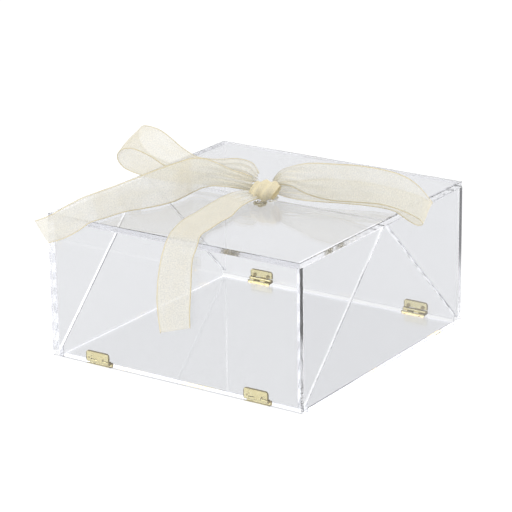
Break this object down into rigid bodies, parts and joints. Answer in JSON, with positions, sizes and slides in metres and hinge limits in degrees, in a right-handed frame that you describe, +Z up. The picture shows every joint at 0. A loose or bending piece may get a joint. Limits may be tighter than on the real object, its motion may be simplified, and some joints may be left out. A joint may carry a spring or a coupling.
{
  "type": "wedding card box",
  "caption": "Clear acrylic keepsake box whose lid parts at the middle into two outward-swinging doors, dressed with a wired-edge organza bow.",
  "frame": {"origin": "middle of the base plate's underside, on the surface the box stands on", "axes": "+Z up, +X along the seam between the two lid halves towards the right side pane, +Y towards the back door"},
  "size_m": [0.2362, 0.2108, 0.1406],
  "materials": {
    "clear_acrylic": "polished clear",
    "hinge_gold": "bright gold plate",
    "screw_brass": "bright",
    "pin_steel": "bright gold plate",
    "ribbon": "semi-sheer organza"
  },
  "bodies": {
    "base": {"back_base_screws": "screw_brass", "back_left_hinge_base_leaf": "hinge_gold", "back_left_hinge_pin": "pin_steel", "back_right_hinge_base_leaf": "hinge_gold", "back_right_hinge_pin": "pin_steel", "base_plate": "clear_acrylic", "front_base_screws": "screw_brass", "front_left_hinge_base_leaf": "hinge_gold", "front_left_hinge_pin": "pin_steel", "front_right_hinge_base_leaf": "hinge_gold", "front_right_hinge_pin": "pin_steel", "left_side_pane": "clear_acrylic", "right_side_pane": "clear_acrylic"},
    "front_door": {"bow_front_tail": "ribbon", "bow_knot": "ribbon", "bow_left_loop": "ribbon", "bow_left_tail": "ribbon", "front_door_panel": "clear_acrylic", "front_door_screws": "screw_brass", "front_left_gusset": "clear_acrylic", "front_left_hinge_door_leaf": "hinge_gold", "front_lid_half": "clear_acrylic", "front_ribbon_stopper": "ribbon", "front_right_gusset": "clear_acrylic", "front_right_hinge_door_leaf": "hinge_gold"},
    "back_door": {"back_door_panel": "clear_acrylic", "back_door_screws": "screw_brass", "back_left_gusset": "clear_acrylic", "back_left_hinge_door_leaf": "hinge_gold", "back_lid_half": "clear_acrylic", "back_ribbon_stopper": "ribbon", "back_right_gusset": "clear_acrylic", "back_right_hinge_door_leaf": "hinge_gold", "bow_right_loop": "ribbon"}
  },
  "joints": [
    {"name": "front_door_hinge", "type": "hinge", "parent": "base", "child": "front_door", "pos_m": [0, -0.0985, 0.00545], "axis": [1, 0, 0], "range_deg": [0, 90]},
    {"name": "back_door_hinge", "type": "hinge", "parent": "base", "child": "back_door", "pos_m": [0, 0.0985, 0.00545], "axis": [-1, 0, 0], "range_deg": [0, 90]}
  ]
}
